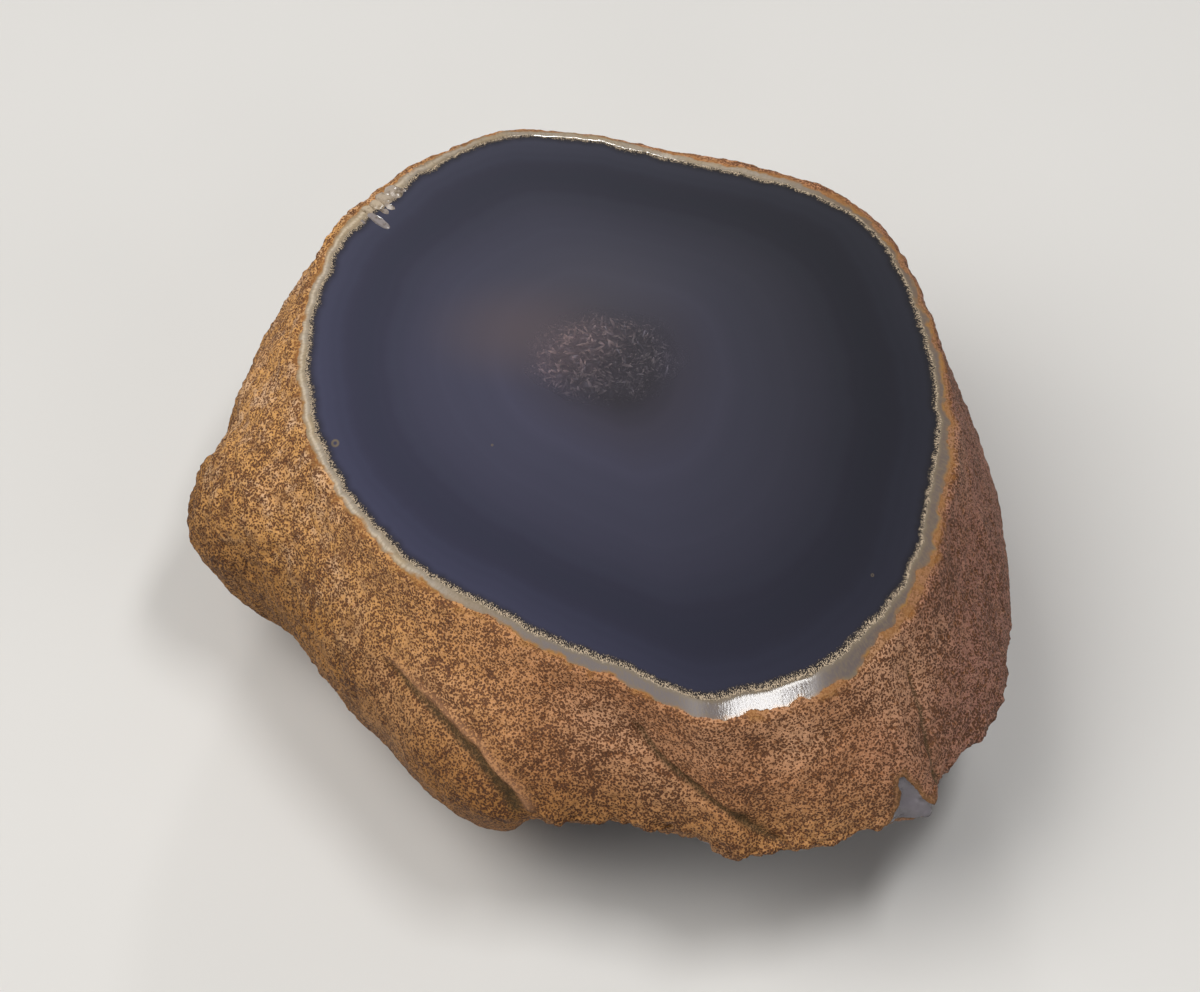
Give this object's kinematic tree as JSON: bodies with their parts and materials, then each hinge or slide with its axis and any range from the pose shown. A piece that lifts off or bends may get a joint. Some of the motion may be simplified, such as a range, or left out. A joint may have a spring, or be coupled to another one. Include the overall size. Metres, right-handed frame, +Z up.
{
  "type": "enhydro agate",
  "caption": "Agate nodule cut and polished flat on top, with a pitted rind, a pale skin band and a small druse seen inside the blue-grey chalcedony.",
  "frame": {"origin": "middle of the stone's outline seen from above, at the height of the foot that it rests on", "axes": "+Z up out of the polished face, -Y towards the broken lower edge, +X to the right of someone who looks at that edge"},
  "size_m": [0.1044, 0.1082, 0.042],
  "materials": {
    "rind": "matte",
    "skin_band": "satin",
    "chalcedony": "polished",
    "druse": "gloss",
    "edge_quartz": "gloss"
  },
  "bodies": {
    "root": {"agate_nodule": "rind"}
  },
  "joints": []
}
